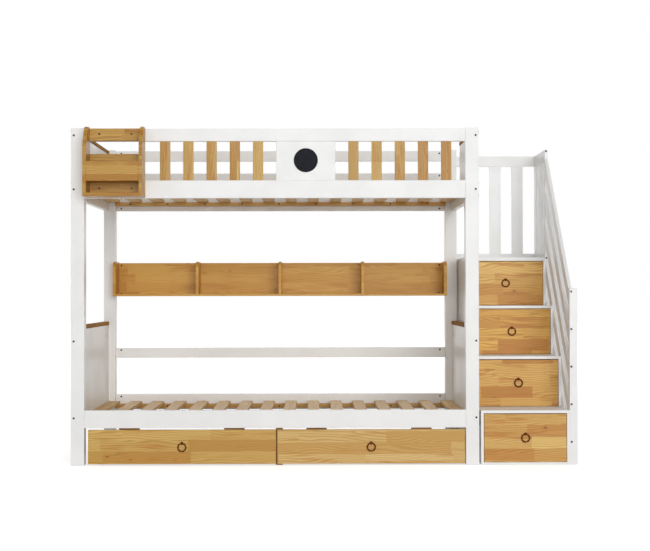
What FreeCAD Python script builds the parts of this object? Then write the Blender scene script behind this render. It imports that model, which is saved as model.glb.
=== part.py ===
import FreeCAD, Part
import os
import re

import Sketcher

# Bunk bed with storage stairs, in millimetres.
# Lengths are laid out from the bed's front left corner: X runs along the bed to the stairs,
# Y runs from the front posts to the back, Z is up. Each finished piece is then placed so that
# the middle of the footprint is the origin and the floor is Z = 0.

SIZES = {
    # bed frame
    "bed_length": 2000, "bed_depth": 1065, "post_width": 65, "post_depth": 60, "post_height": 1655,
    "rail_thickness": 28, "rail_setback": 2, "side_rail_height": 87,
    "lower_rail_z": 183.5, "upper_rail_z": 1310.5,
    "guard_rail_height": 61, "guard_rail_z": 1590,
    "back_rail_height": 58, "back_top_z": 1594, "back_second_z": 1466.5, "back_mid_z": 476,
    # front guard boards
    "guard_board_thickness": 17, "guard_slat_width": 50, "guard_slat_count": 5,
    "guard_first_x": 435, "guard_last_gap": 67.4, "guard_panel_width": 290.6,
    "disc_radius": 59, "disc_thickness": 3, "disc_rise": 99,
    # end panels
    "end_thickness": 28, "cap_thickness": 20, "cap_overhang": 2, "lower_end_top_z": 664,
    "upper_end_top_z": 1630, "entry_panel_length": 525,
    # bed slats
    "slat_width": 62, "slat_thickness": 17, "slat_count": 16,
    "slat_first_x": 30, "slat_last_gap": 33, "slat_end_gap": 2.5, "ledger_width": 45, "ledger_height": 21,
    "lower_ledger_rise": 12.5, "upper_ledger_rise": 26.5,
    "screw_first_x": 153, "screw_last_gap": 167, "screw_count": 9,
    "screw_head_radius": 4.5, "screw_head_height": 2, "screw_radius": 2, "screw_length": 60,
    "screw_clearance": 0.1,
    # stop blocks behind the drawer fronts
    "stop_width": 100, "stop_depth": 24, "stop_height": 33.5, "stop_inner_x": 202, "stop_outer_x": 718,
    "stop_gap": 0.5,
    # leg in the gap between the drawers
    "leg_width": 34, "leg_depth": 40, "leg_offset": 12.5,
    # hanging shelf
    "shelf_z": 827, "shelf_height": 193, "shelf_board": 13, "shelf_upright": 16, "shelf_depth": 139,
    "shelf_back_height": 188, "shelf_back_thickness": 16, "shelf_bays": 4, "shelf_corner_radius": 35,
    # bedside caddy
    "caddy_x": 76, "caddy_width": 288, "caddy_board": 17, "caddy_depth": 120, "caddy_z": 1313,
    "caddy_height": 343, "caddy_slope_z": 1563, "caddy_top_depth": 60, "caddy_corner_radius": 30,
    "caddy_top_board": 60, "caddy_back_z": 1328, "caddy_back_height": 196, "caddy_floor_z": 1386,
    "caddy_lip_height": 96, "caddy_bolt_inset": 65,
    # fasteners
    "bolt_radius": 3, "bolt_head_radius": 5, "bolt_head_height": 2.2, "bolt_socket_depth": 1.6,
    "bolt_socket_width": 5, "bolt_clearance": 0.5, "bolt_past_nut": 8,
    "nut_radius": 5, "nut_clearance": 0.05, "nut_inset": 29, "end_nut_inset": 90,
    "bolt_edge": 13.5, "short_bolt_length": 38, "nut_tail": 6,
    "lower_end_bolt_rise": 49.5, "lower_end_bolt_drop": 55, "upper_end_bolt_drop": 11,
    "newel_bolt_reach": 40, "newel_bolt_drop": 12, "landing_bolt_drop": 7, "landing_bolt_rise": 25,
    "caddy_bolt_rise": 3,
    # drawers under the bed
    "low_front_height": 167, "low_front_thickness": 18, "low_front_z": 8,
    "low_front_x": 83, "low_front_end": 70, "low_front_gap": 7, "low_front_y": 2, "low_ring_drop": 2,
    "low_box_inset": 50, "low_box_depth": 850, "low_box_board": 15, "low_box_z": 10,
    "low_box_height": 75, "low_bottom_thickness": 8, "low_bottom_rise": 2,
    "wheel_radius": 20, "wheel_width": 14, "wheel_edge": 2, "wheel_gap": 1, "axle_radius": 4,
    "axle_depth": 10, "axle_clearance": 0.08, "front_wheel_inset": 60, "rear_wheel_inset": 80,
    # stairs
    "stair_gap": 9, "stair_panel": 14, "stair_opening_width": 409, "stair_front_y": 6,
    "step_depth": 219, "stair_back_inset": 27, "base_board": 12, "opening_height": 239.5,
    "tread_thickness": 15, "landing_thickness": 20, "shelf_run": 560, "tread_gap": 0.3,
    "stair_back_board": 12, "stair_back_gap": 3,
    "stair_front_width": 405, "stair_front_height": 235, "stair_front_thickness": 18,
    "stair_front_rise": 1.5, "stair_box_inset": 3, "stair_box_depth": 340, "stair_box_board": 12,
    "stair_box_rise": 0.5, "stair_box_height": 160, "stair_bottom_thickness": 6,
    # stair rail
    "newel_width": 38, "newel_depth": 30, "newel_height": 865, "landing_post_width": 17,
    "landing_post_inset": 27,
    "landing_post_height": 1622, "baluster_thickness": 17, "sloped_rail_width": 58,
    "sloped_rail_pitch": 184.4, "sloped_rail_count": 5, "sloped_rail_top": 861, "sloped_rail_rise": 714,
    "landing_rail_height": 58, "landing_rail_z": 1007, "landing_top_z": 1562,
    "back_baluster_width": 62.5, "back_baluster_gap": 67.5, "baluster_pitch": 125.75,
    "side_baluster_width": 62, "side_baluster_gap": 44, "side_baluster_end": 1,
    "landing_baluster_count": 3,
    # ring pulls
    "ring_radius": 19.3, "ring_wire": 3.4, "ring_gap": 0.3, "pull_plate_radius": 8,
    "pull_plate_thickness": 1.5, "pull_lug_radius": 5.6, "pull_lug_width": 7, "ring_bore_gap": 0.45,
    # eased edges
    "edge_round": 2, "slat_round": 1.5, "panel_arris": 1,
}

doc = FreeCAD.newDocument("BunkBed")
sheet = doc.addObject("Spreadsheet::Sheet", "Dim")
for row, (alias, value) in enumerate(SIZES.items(), start=1):
    sheet.set(f"A{row}", alias)
    sheet.set(f"B{row}", str(value))
    sheet.setAlias(f"B{row}", alias)
doc.recompute()


def cells(text):
    """Turn the size names in an expression into references to the sheet's cells."""
    return re.sub(r"[a-z][a-z_]*[a-z]", lambda m: f"Dim.{m[0]}" if m[0] in SIZES else m[0], str(text))


def bind(target, prop, text):
    """Bind one property to an expression of the size names."""
    target.setExpression(prop, cells(text))


def bind_place(target, corner):
    """Bind the three coordinates of an object's position."""
    for axis_name, text in zip("xyz", corner):
        bind(target, f".Placement.Base.{axis_name}", text)


# Places that several pieces share.
BACK_FACE = "(bed_depth - rail_setback)"
BACK_RAIL = f"({BACK_FACE} - rail_thickness)"
FRONT_RAIL_BACK = "(rail_setback + rail_thickness)"
INNER_LEFT = "post_width"
INNER_RIGHT = "(bed_length - post_width)"
INNER_LENGTH = "(bed_length - 2 * post_width)"
BACK_POST = "(bed_depth - post_depth)"
INNER_DEPTH = "(bed_depth - 2 * post_depth)"
UPPER_RAIL_TOP = "(upper_rail_z + side_rail_height)"
RIGHT_END = "(bed_length - end_thickness)"
STAIR_LEFT = "(bed_length + stair_gap)"
STAIR_INNER = f"({STAIR_LEFT} + stair_panel)"
STAIR_RIGHT = f"({STAIR_INNER} + stair_opening_width)"
STAIR_OUTER = f"({STAIR_RIGHT} + stair_panel)"
STAIR_MIDDLE = f"({STAIR_INNER} + stair_opening_width / 2)"
STAIR_BACK = "(bed_depth - stair_back_inset)"
STEP_RISE = "(opening_height + tread_thickness)"
LANDING_Z = "(base_board + 4 * opening_height + 3 * tread_thickness)"
LANDING_Y = "(stair_front_y + 3 * step_depth)"
LANDING_POST_Y = f"({LANDING_Y} + landing_post_inset)"
NEWEL_BACK = "(stair_front_y + newel_depth)"
CADDY_FRONT = "(rail_setback - caddy_depth)"
LOW_FRONT_WIDTH = "((bed_length - low_front_x - low_front_end - low_front_gap) / 2)"
OVERALL_LENGTH = f"({STAIR_OUTER} + newel_width)"
ORIGIN_X = f"(({OVERALL_LENGTH} - bolt_head_height) / 2)"
ORIGIN_Y = f"(({CADDY_FRONT} + bed_depth + bolt_head_height) / 2)"
LEVELS = range(4)

nodes = []
holes = {}


def keep(item, label):
    """Name a finished sub-part and place it in the bed's own frame."""
    item.Label = label
    bind_place(item, (f"-{ORIGIN_X}", f"-{ORIGIN_Y}", "0"))
    nodes.append(item)
    return item


def new_body(name):
    """Start a body that may hold several separate solids."""
    body = doc.addObject("PartDesign::Body", name)
    body.AllowCompound = True
    return body


def origin_item(body, role):
    """Return one of a body's own origin axes or planes."""
    return next(item for item in body.Origin.OriginFeatures if item.Role == role)


def add_box(body, corner, size, kind="AdditiveBox"):
    """Add or cut one block, given its lowest corner and its size."""
    block = body.newObject(f"PartDesign::{kind}", "Block")
    for prop, text in zip(("Length", "Width", "Height"), size):
        bind(block, prop, text)
    bind_place(block, corner)
    return block


def ease(body, radius="edge_round"):
    """Round over every edge of a body's latest feature."""
    doc.recompute()
    last = body.Tip
    rounding = body.newObject("PartDesign::Fillet", "Eased")
    rounding.Base = (last, [""])
    rounding.UseAllEdges = True
    bind(rounding, "Radius", radius)
    return rounding


def repeat(body, role, pitch, count):
    """Repeat the whole body along one of its axes."""
    doc.recompute()
    row_of = body.newObject("PartDesign::LinearPattern", "Row")
    row_of.TransformMode = "Whole shape"
    row_of.Direction = (origin_item(body, role), [""])
    row_of.Mode = "Spacing"
    bind(row_of, "Offset", pitch)
    bind(row_of, "Occurrences", count)
    body.Tip = row_of
    return row_of


def board(name, corner, size, radius="edge_round"):
    """Make one board with eased edges."""
    body = new_body(name)
    add_box(body, corner, size)
    ease(body, radius)
    return body


def profile(name, plane, points, thickness, offset, fillets=()):
    """Pad a straight-sided outline; offset is the outline plane's place along its normal."""
    body = new_body(name)
    sketch = body.newObject("Sketcher::SketchObject", "Outline")
    sketch.AttachmentSupport = [(origin_item(body, plane), "")]
    sketch.MapMode = "FlatFace"
    bind(sketch, ".AttachmentOffset.Base.z", offset)
    doc.recompute()
    values = [[value_of(text) for text in point] for point in points]
    total = len(points)
    for index in range(total):
        start = FreeCAD.Vector(*values[index], 0)
        end = FreeCAD.Vector(*values[(index + 1) % total], 0)
        sketch.addGeometry(Part.LineSegment(start, end))
    for index in range(total):
        sketch.addConstraint(Sketcher.Constraint("Coincident", index, 2, (index + 1) % total, 1))
    for index, point in enumerate(points):
        for kind, letter, text, place in zip(("DistanceX", "DistanceY"), "uv", point, values[index]):
            number = sketch.addConstraint(Sketcher.Constraint(kind, -1, 1, index, 1, place))
            sketch.renameConstraint(number, f"{letter}{index}")
            bind(sketch, f"Constraints.{letter}{index}", text)
    pad = body.newObject("PartDesign::Pad", "Board")
    pad.Profile = sketch
    bind(pad, "Length", thickness)
    doc.recompute()
    for test, radius in fillets:
        last = body.Tip
        corner = body.newObject("PartDesign::Fillet", "Corner")
        corner.Base = (last, matching_edges(last.Shape, test))
        bind(corner, "Radius", radius)
        doc.recompute()
    return body


def value_of(text):
    """Work out an expression of the size names as a plain number."""
    return float(sheet.evalExpression(cells(text)))


def matching_edges(shape, test):
    """Name the edges of a shape whose middle passes a test."""
    return [
        f"Edge{index}"
        for index, edge in enumerate(shape.Edges, start=1)
        if test(edge)
    ]


def corner_edge(place):
    """Pick the edges along X that pass through one point of the YZ outline."""
    target = FreeCAD.Vector(0, *place)

    def test(edge):
        ends = [vertex.Point for vertex in edge.Vertexes]
        return all(FreeCAD.Vector(0, end.y, end.z).isEqual(target, 1e-3) for end in ends)

    return test


def group(name, items):
    """Hold several objects as one sub-part with separate solids."""
    compound = doc.addObject("Part::Compound", name)
    compound.Links = items
    return compound


def link_at(template, direction, corner, inward=None):
    """Show a template piece again, its +Z turned to a direction and, if given, its +Y inward."""
    copy = doc.addObject("App::Link", template.Name + "At")
    copy.LinkedObject = template
    out = FreeCAD.Vector(*direction)
    turn = FreeCAD.Rotation(FreeCAD.Vector(0, 0, 1), out)
    if inward:
        turn = FreeCAD.Rotation(FreeCAD.Vector(*inward).cross(out), FreeCAD.Vector(*inward), out)
    copy.Placement = FreeCAD.Placement(FreeCAD.Vector(), turn)
    bind_place(copy, corner)
    return copy


def drill(piece, label):
    """Cut the fastener holes that belong to a piece and keep it as a sub-part."""
    if label not in holes:
        return keep(piece, label)
    cut = doc.addObject("Part::Cut", f"{piece.Name}Drilled")
    cut.Base = piece
    cut.Tool = group(f"{piece.Name}Holes", holes[label])
    return keep(cut, label)


# Fasteners. A bolt's head sits on the face it is driven from; its shank runs down -Z from there
# to a barrel nut set crosswise from the rail's inner face. Each cutter is the same shape with its
# clearance.
def make_bolt(name, length):
    """Make a socket-head bolt whose shank runs down from Z = 0."""
    body = new_body(name)
    head = body.newObject("PartDesign::AdditiveCylinder", "Head")
    bind(head, "Radius", "bolt_head_radius")
    bind(head, "Height", "bolt_head_height")
    shank = body.newObject("PartDesign::AdditiveCylinder", "Shank")
    bind(shank, "Radius", "bolt_radius")
    bind(shank, "Height", length)
    bind_place(shank, ("0", "0", f"-({length})"))
    socket = body.newObject("PartDesign::SubtractivePrism", "Socket")
    socket.Polygon = 6
    bind(socket, "Circumradius", "bolt_socket_width / 2")
    bind(socket, "Height", "bolt_socket_depth")
    bind_place(socket, ("0", "0", "bolt_head_height - bolt_socket_depth"))
    return body


def make_barrel(name, depth, reach, gap):
    """Make a solid barrel along Y, from past the bolt's line to the inner face."""
    barrel = doc.addObject("Part::Cylinder", name)
    bind(barrel, "Radius", f"nut_radius + {gap}")
    bind(barrel, "Height", f"{reach} + nut_tail + {gap} * 4")
    barrel.Placement = FreeCAD.Placement(FreeCAD.Vector(), FreeCAD.Rotation(FreeCAD.Vector(1, 0, 0), 90))
    bind_place(barrel, ("0", f"{reach} + {gap} * 2", f"-({depth})"))
    return barrel


def make_nut(name, depth, reach):
    """Make a barrel nut with its cross bore."""
    bore = doc.addObject("Part::Cylinder", f"{name}Bore")
    bind(bore, "Radius", "bolt_radius + nut_clearance")
    bind(bore, "Height", "4 * nut_radius")
    bind_place(bore, ("0", "0", f"-({depth}) - 2 * nut_radius"))
    nut = doc.addObject("Part::Cut", name)
    nut.Base = make_barrel(f"{name}Barrel", depth, reach, "0")
    nut.Tool = bore
    return nut


def make_cutter(name, length, nut_depth, reach):
    """Make the clearance shape for a bolt and, where it has one, its nut."""
    shank = doc.addObject("Part::Cylinder", f"{name}Shank")
    bind(shank, "Radius", "bolt_radius + bolt_clearance")
    bind(shank, "Height", f"{length} + bolt_past_nut")
    bind_place(shank, ("0", "0", f"-({length}) - bolt_past_nut / 2"))
    if nut_depth is None:
        pocket = doc.addObject("Part::Cylinder", f"{name}Pocket")
        bind(pocket, "Radius", "bolt_head_radius + bolt_clearance")
        bind(pocket, "Height", "2 * bolt_head_height")
        return group(name, [shank, pocket])
    both = doc.addObject("Part::Fuse", name)
    both.Base = shank
    both.Tool = make_barrel(f"{name}Pocket", nut_depth, reach, "nut_clearance")
    return both


RAIL_NUT = "(post_width + nut_inset)"
END_NUT = "(post_depth + end_nut_inset)"
KINDS = {
    "rail": (f"{RAIL_NUT} + bolt_past_nut", RAIL_NUT, "rail_thickness / 2"),
    "shelf": (f"{RAIL_NUT} + bolt_past_nut", RAIL_NUT, "shelf_back_thickness / 2"),
    "end": (f"{END_NUT} + bolt_past_nut", END_NUT, "end_thickness / 2"),
    "short": ("short_bolt_length", None, None),
    "newel": ("newel_depth + newel_bolt_reach", None, None),
}
bolts = {}
nuts = {}
cutters = {}
for kind, (length, nut_depth, reach) in KINDS.items():
    bolts[kind] = make_bolt(f"{kind.title()}Bolt", length)
    cutters[kind] = make_cutter(f"{kind.title()}Cutter", length, nut_depth, reach)
    if nut_depth:
        nuts[kind] = make_nut(f"{kind.title()}Nut", nut_depth, reach)
fasteners = []


def fasten(kind, direction, corner, pieces, inward=None):
    """Set one bolt, with its nut, and the hole for it in each piece it passes through."""
    fasteners.append(link_at(bolts[kind], direction, corner, inward))
    if kind in nuts:
        fasteners.append(link_at(nuts[kind], direction, corner, inward))
    cutter = link_at(cutters[kind], direction, corner, inward)
    for piece in pieces:
        holes.setdefault(piece, []).append(cutter)


# Along the bed, each rail end has one bolt through the post near its top edge, and a deep rail
# has a second one near its bottom edge.
UPPER_ONLY = ("upper",)
BOTH_EDGES = ("upper", "lower")
RAILS = {
    "front": [("front_guard_top_rail", "guard_rail_z", "guard_rail_height", UPPER_ONLY)],
    "back": [
        ("back_guard_rails", "back_top_z", "back_rail_height", UPPER_ONLY),
        ("back_guard_rails", "back_second_z", "back_rail_height", UPPER_ONLY),
        ("back_guard_rails", "back_mid_z", "back_rail_height", UPPER_ONLY),
        ("hanging_shelf", "shelf_z", "shelf_back_height", BOTH_EDGES),
    ],
}
for row_rails in RAILS.values():
    row_rails.append(("lower_side_rails", "lower_rail_z", "side_rail_height", BOTH_EDGES))
    row_rails.append(("upper_side_rails", "upper_rail_z", "side_rail_height", BOTH_EDGES))
LINES = {
    "front": ("rail_setback + rail_thickness / 2", (0, 1, 0)),
    "back": (f"{BACK_FACE} - rail_thickness / 2", (0, -1, 0)),
}
ENDS = {
    "left": ("0", (-1, 0, 0), "end_thickness / 2", (1, 0, 0)),
    "right": ("bed_length", (1, 0, 0), f"{RIGHT_END} + end_thickness / 2", (-1, 0, 0)),
}
END_BOLTS = [
    ("lower_end_panels", "lower_rail_z + lower_end_bolt_rise"),
    ("lower_end_panels", "lower_end_top_z - lower_end_bolt_drop"),
    ("upper_end_panels", "upper_rail_z + side_rail_height / 2"),
    ("upper_end_panels", "upper_end_top_z - upper_end_bolt_drop"),
]
POST_FACES = {"front": ("0", (0, -1, 0)), "back": ("bed_depth", (0, 1, 0))}
for side, (face, outward, end_line, end_inward) in ENDS.items():
    for row_name, (line, inward) in LINES.items():
        post = f"{row_name}_{side}_post"
        for rail, low, height, edges in RAILS[row_name]:
            kind = "shelf" if rail == "hanging_shelf" else "rail"
            place = f"{BACK_FACE} - shelf_back_thickness / 2" if kind == "shelf" else line
            levels = {"upper": f"{low} + {height} - bolt_edge", "lower": f"{low} + bolt_edge"}
            for edge in edges:
                fasten(kind, outward, (face, place, levels[edge]), [post, rail], inward)
        post_face, facing = POST_FACES[row_name]
        open_entry = side == "right" and row_name == "back"
        for panel, level in END_BOLTS[:3] if open_entry else END_BOLTS:
            fasten("end", facing, (end_line, post_face, level), [post, panel], end_inward)

# Two bolts hold each back board of the caddy to the rail behind it.
CADDY_BACK_FACE = "(rail_setback - caddy_board)"
for offset in ("caddy_bolt_inset", "caddy_width - caddy_bolt_inset"):
    for rail, level in (
        ("front_guard_top_rail", "guard_rail_z + guard_rail_height / 2 + caddy_bolt_rise"),
        ("upper_side_rails", "upper_rail_z + side_rail_height / 2 + caddy_bolt_rise"),
    ):
        fasten("short", (0, -1, 0), (f"caddy_x + {offset}", CADDY_BACK_FACE, level), ["bedside_caddy", rail])

# The newel post has one bolt into the end of each sloped rail, and the landing post has one into
# each rail of the side guard.
BALUSTER_LINE = f"({STAIR_OUTER} + baluster_thickness / 2)"
for index in range(SIZES["sloped_rail_count"]):
    level = f"sloped_rail_top - {index} * sloped_rail_pitch - newel_bolt_drop"
    fasten("newel", (0, -1, 0), (BALUSTER_LINE, "stair_front_y", level), ["newel_post", "sloped_rails"])
LANDING_RAIL_TOP = "(landing_top_z + landing_rail_height)"
for level in ("landing_rail_z + landing_bolt_rise", f"{LANDING_RAIL_TOP} - landing_bolt_drop"):
    fasten("newel", (0, -1, 0), (BALUSTER_LINE, LANDING_POST_Y, level), ["landing_post", "landing_guard"])
fastener_group = keep(group("Fasteners", fasteners), "frame_bolts")

# Ledger screws run level through each ledger into its side rail.
screw = new_body("Screw")
screw_head = screw.newObject("PartDesign::AdditiveCylinder", "Head")
bind(screw_head, "Radius", "screw_head_radius")
bind(screw_head, "Height", "screw_head_height")
screw_shank = screw.newObject("PartDesign::AdditiveCylinder", "Shank")
bind(screw_shank, "Radius", "screw_radius")
bind(screw_shank, "Height", "screw_length")
bind_place(screw_shank, ("0", "0", "-screw_length"))
screw_drill = doc.addObject("Part::Cylinder", "ScrewDrill")
bind(screw_drill, "Radius", "screw_radius + screw_clearance")
bind(screw_drill, "Height", "screw_length + screw_clearance * 20")
bind_place(screw_drill, ("0", "0", "-screw_length - screw_clearance * 10"))
screw_cutter = group("ScrewCutter", [screw_drill])
LEDGERS = [
    ("lower_side_rails", "(lower_rail_z + lower_ledger_rise)"),
    ("upper_side_rails", "(upper_rail_z + upper_ledger_rise)"),
]
LEDGER_ROWS = [
    (FRONT_RAIL_BACK, f"{FRONT_RAIL_BACK} + ledger_width", (0, 1, 0)),
    (f"({BACK_RAIL} - ledger_width)", f"{BACK_RAIL} - ledger_width", (0, -1, 0)),
]
SCREW_PITCH = "((bed_length - screw_first_x - screw_last_gap) / (screw_count - 1))"
screws = []
ledgers = []
for rail, low in LEDGERS:
    for start, head_face, facing in LEDGER_ROWS:
        size = (INNER_LENGTH, "ledger_width", "ledger_height")
        ledgers.append(board("Ledger", (INNER_LEFT, start, low), size))
        for index in range(SIZES["screw_count"]):
            corner = (f"screw_first_x + {index} * {SCREW_PITCH}", head_face, f"{low} + ledger_height / 2")
            screws.append(link_at(screw, facing, corner))
            cutter = link_at(screw_cutter, facing, corner)
            for piece in ("slat_ledgers", rail):
                holes.setdefault(piece, []).append(cutter)
keep(group("LedgerScrews", screws), "ledger_screws")
drill(group("Ledgers", ledgers), "slat_ledgers")

# Posts
for side, post_x in (("left", "0"), ("right", INNER_RIGHT)):
    for row_name, post_y in (("front", "0"), ("back", BACK_POST)):
        post = board("Post", (post_x, post_y, "0"), ("post_width", "post_depth", "post_height"))
        drill(post, f"{row_name}_{side}_post")

# Side rails and guard rails, between the posts
for label, low in (("lower_side_rails", "lower_rail_z"), ("upper_side_rails", "upper_rail_z")):
    size = (INNER_LENGTH, "rail_thickness", "side_rail_height")
    pair = [board("SideRail", (INNER_LEFT, y, low), size) for y in ("rail_setback", BACK_RAIL)]
    drill(group("SideRails", pair), label)
size = (INNER_LENGTH, "rail_thickness", "guard_rail_height")
drill(board("GuardRail", (INNER_LEFT, "rail_setback", "guard_rail_z"), size), "front_guard_top_rail")
size = (INNER_LENGTH, "rail_thickness", "back_rail_height")
lows = ("back_top_z", "back_second_z", "back_mid_z")
back_rails = [board("BackRail", (INNER_LEFT, BACK_RAIL, low), size) for low in lows]
drill(group("BackRails", back_rails), "back_guard_rails")

# Front guard boards: a row of slats each side of the plain panel with its round disc
GUARD_HEIGHT = f"(guard_rail_z - {UPPER_RAIL_TOP})"
GUARD_Y = "(rail_setback + (rail_thickness - guard_board_thickness) / 2)"
GUARD_BOARDS = "(2 * guard_slat_count * guard_slat_width + guard_panel_width)"
GUARD_ROOM = f"({INNER_RIGHT} - guard_last_gap - guard_first_x)"
GUARD_GAP = f"(({GUARD_ROOM} - {GUARD_BOARDS}) / (2 * guard_slat_count))"
GUARD_PITCH = f"(guard_slat_width + {GUARD_GAP})"
PANEL_X = f"(guard_first_x + guard_slat_count * {GUARD_PITCH})"
SECOND_X = f"({PANEL_X} + guard_panel_width + {GUARD_GAP})"
runs = []
for start in ("guard_first_x", SECOND_X):
    size = ("guard_slat_width", "guard_board_thickness", GUARD_HEIGHT)
    run = board("GuardSlats", (start, GUARD_Y, UPPER_RAIL_TOP), size, "slat_round")
    repeat(run, "X_Axis", GUARD_PITCH, "guard_slat_count")
    runs.append(run)
keep(group("GuardSlatRows", runs), "front_guard_slats")
size = ("guard_panel_width", "guard_board_thickness", GUARD_HEIGHT)
keep(board("GuardPanel", (PANEL_X, GUARD_Y, UPPER_RAIL_TOP), size), "front_guard_panel")
disc = new_body("Disc")
disc_face = disc.newObject("PartDesign::AdditiveCylinder", "Disc")
bind(disc_face, "Radius", "disc_radius")
bind(disc_face, "Height", "disc_thickness")
disc_face.Placement = FreeCAD.Placement(FreeCAD.Vector(), FreeCAD.Rotation(FreeCAD.Vector(1, 0, 0), 90))
bind_place(disc_face, (f"{PANEL_X} + guard_panel_width / 2", GUARD_Y, f"{UPPER_RAIL_TOP} + disc_rise"))
ease(disc, "disc_thickness / 3")
keep(disc, "guard_panel_disc")

# End panels between the posts, with a wooden cap on each top edge. The upper right end is a low
# rail with a short panel on it, which leaves the way in from the stairs.
lower_ends = []
upper_ends = []
caps = []
for end_x, inward in (("0", "0"), (RIGHT_END, "-cap_overhang")):
    size = ("end_thickness", INNER_DEPTH, "lower_end_top_z - lower_rail_z")
    lower_ends.append(board("LowerEnd", (end_x, "post_depth", "lower_rail_z"), size))
    size = ("end_thickness + cap_overhang", INNER_DEPTH, "cap_thickness")
    caps.append(board("LowerCap", (f"{end_x} + {inward}", "post_depth", "lower_end_top_z"), size))
size = ("end_thickness", INNER_DEPTH, "upper_end_top_z - upper_rail_z")
upper_ends.append(board("UpperEnd", ("0", "post_depth", "upper_rail_z"), size))
size = ("end_thickness", INNER_DEPTH, "side_rail_height")
upper_ends.append(board("EntryRail", (RIGHT_END, "post_depth", "upper_rail_z"), size))
size = ("end_thickness", "entry_panel_length", f"upper_end_top_z - {UPPER_RAIL_TOP}")
upper_ends.append(board("EntryPanel", (RIGHT_END, "post_depth", UPPER_RAIL_TOP), size))
for end_x, run_length in (("0", INNER_DEPTH), (f"{RIGHT_END} - cap_overhang", "entry_panel_length")):
    size = ("end_thickness + cap_overhang", run_length, "cap_thickness")
    caps.append(board("UpperCap", (end_x, "post_depth", "upper_end_top_z"), size))
drill(group("LowerEnds", lower_ends), "lower_end_panels")
drill(group("UpperEnds", upper_ends), "upper_end_panels")
keep(group("Caps", caps), "end_panel_caps")

# Bed slats rest on the ledgers, clear of the posts
SLAT_PITCH = "((bed_length - slat_first_x - slat_width - slat_last_gap) / (slat_count - 1))"
SLAT_LENGTH = f"({INNER_DEPTH} - 2 * slat_end_gap)"
for label, (rail, low) in (("lower_slats", LEDGERS[0]), ("upper_slats", LEDGERS[1])):
    corner = ("slat_first_x", "post_depth + slat_end_gap", f"{low} + ledger_height")
    slats = board("Slats", corner, ("slat_width", SLAT_LENGTH, "slat_thickness"), "slat_round")
    repeat(slats, "X_Axis", SLAT_PITCH, "slat_count")
    keep(slats, label)

# Stop blocks under the front lower rail, just behind the drawer fronts
blocks = []
for offset in ("-stop_outer_x", "-stop_inner_x", "stop_inner_x", "stop_outer_x"):
    corner = (
        f"bed_length / 2 + {offset} - stop_width / 2",
        "low_front_y + low_front_thickness + stop_gap",
        "lower_rail_z - stop_height",
    )
    blocks.append(board("StopBlock", corner, ("stop_width", "stop_depth", "stop_height")))
keep(group("StopBlocks", blocks), "drawer_stop_blocks")

# A leg under the front lower rail, behind the gap between the two drawers
LEG_MIDDLE = f"(low_front_x + {LOW_FRONT_WIDTH} + low_front_gap / 2 + leg_offset)"
corner = (f"{LEG_MIDDLE} - leg_width / 2", "low_front_y + low_front_thickness + stop_gap", "0")
keep(board("CentreLeg", corner, ("leg_width", "leg_depth", "lower_rail_z")), "centre_leg")

# Hanging shelf: a back board between the back posts, a bottom board and five uprights whose top
# front corners are rounded
SHELF_BACK = f"({BACK_FACE} - shelf_back_thickness)"
SHELF_FRONT = f"({SHELF_BACK} - shelf_depth)"
SHELF_INNER = f"({INNER_LENGTH} - 2 * shelf_upright)"
SHELF_TOP = "(shelf_z + shelf_height)"
shelf = [
    board("ShelfBack", (INNER_LEFT, SHELF_BACK, "shelf_z"),
          (INNER_LENGTH, "shelf_back_thickness", "shelf_back_height")),
    board("ShelfBottom", ("post_width + shelf_upright", SHELF_FRONT, "shelf_z"),
          (SHELF_INNER, "shelf_depth", "shelf_board")),
]
for index in range(SIZES["shelf_bays"] + 1):
    at_end = index in (0, SIZES["shelf_bays"])
    foot = "shelf_z" if at_end else "shelf_z + shelf_board"
    outline = [
        (SHELF_FRONT, foot),
        (SHELF_BACK, foot),
        (SHELF_BACK, SHELF_TOP),
        (SHELF_FRONT, SHELF_TOP),
    ]
    place = f"post_width + {index} * ({INNER_LENGTH} - shelf_upright) / shelf_bays"
    top_front = (value_of(SHELF_FRONT), value_of(SHELF_TOP))
    shelf.append(profile("ShelfUpright", "YZ_Plane", outline, "shelf_upright", place,
                         [(corner_edge(top_front), "shelf_corner_radius")]))
drill(group("Shelf", shelf), "hanging_shelf")

# Bedside caddy on the front guard: two sides whose front edge slopes back, two back boards, a
# bottom board, a tray floor and the lip in front of it
CADDY_TOP = "(caddy_z + caddy_height)"
outline = [
    (CADDY_FRONT, "caddy_z"),
    ("rail_setback", "caddy_z"),
    ("rail_setback", CADDY_TOP),
    ("rail_setback - caddy_top_depth", CADDY_TOP),
    (CADDY_FRONT, "caddy_slope_z"),
]
top_front = (value_of("rail_setback - caddy_top_depth"), value_of(CADDY_TOP))
slope_foot = (value_of(CADDY_FRONT), value_of("caddy_slope_z"))
rounds = [(corner_edge(top_front), "caddy_corner_radius"), (corner_edge(slope_foot), "caddy_corner_radius")]
caddy = [
    profile("CaddySide", "YZ_Plane", outline, "caddy_board", place, rounds)
    for place in ("caddy_x", "caddy_x + caddy_width - caddy_board")
]
CADDY_INNER_X = "(caddy_x + caddy_board)"
CADDY_INNER = "(caddy_width - 2 * caddy_board)"
for y, z, depth, height in (
    (CADDY_BACK_FACE, "guard_rail_z + guard_rail_height - caddy_top_board", "caddy_board", "caddy_top_board"),
    (CADDY_BACK_FACE, "caddy_z + caddy_board", "caddy_board", "caddy_back_height"),
    (CADDY_FRONT, "caddy_z", "caddy_depth", "caddy_board"),
    (f"{CADDY_FRONT} + caddy_board", "caddy_floor_z", "caddy_depth - 2 * caddy_board", "caddy_board"),
    (CADDY_FRONT, "caddy_floor_z", "caddy_board", "caddy_lip_height"),
):
    caddy.append(board("CaddyBoard", (CADDY_INNER_X, y, z), (CADDY_INNER, depth, height)))
drill(group("Caddy", caddy), "bedside_caddy")

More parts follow.
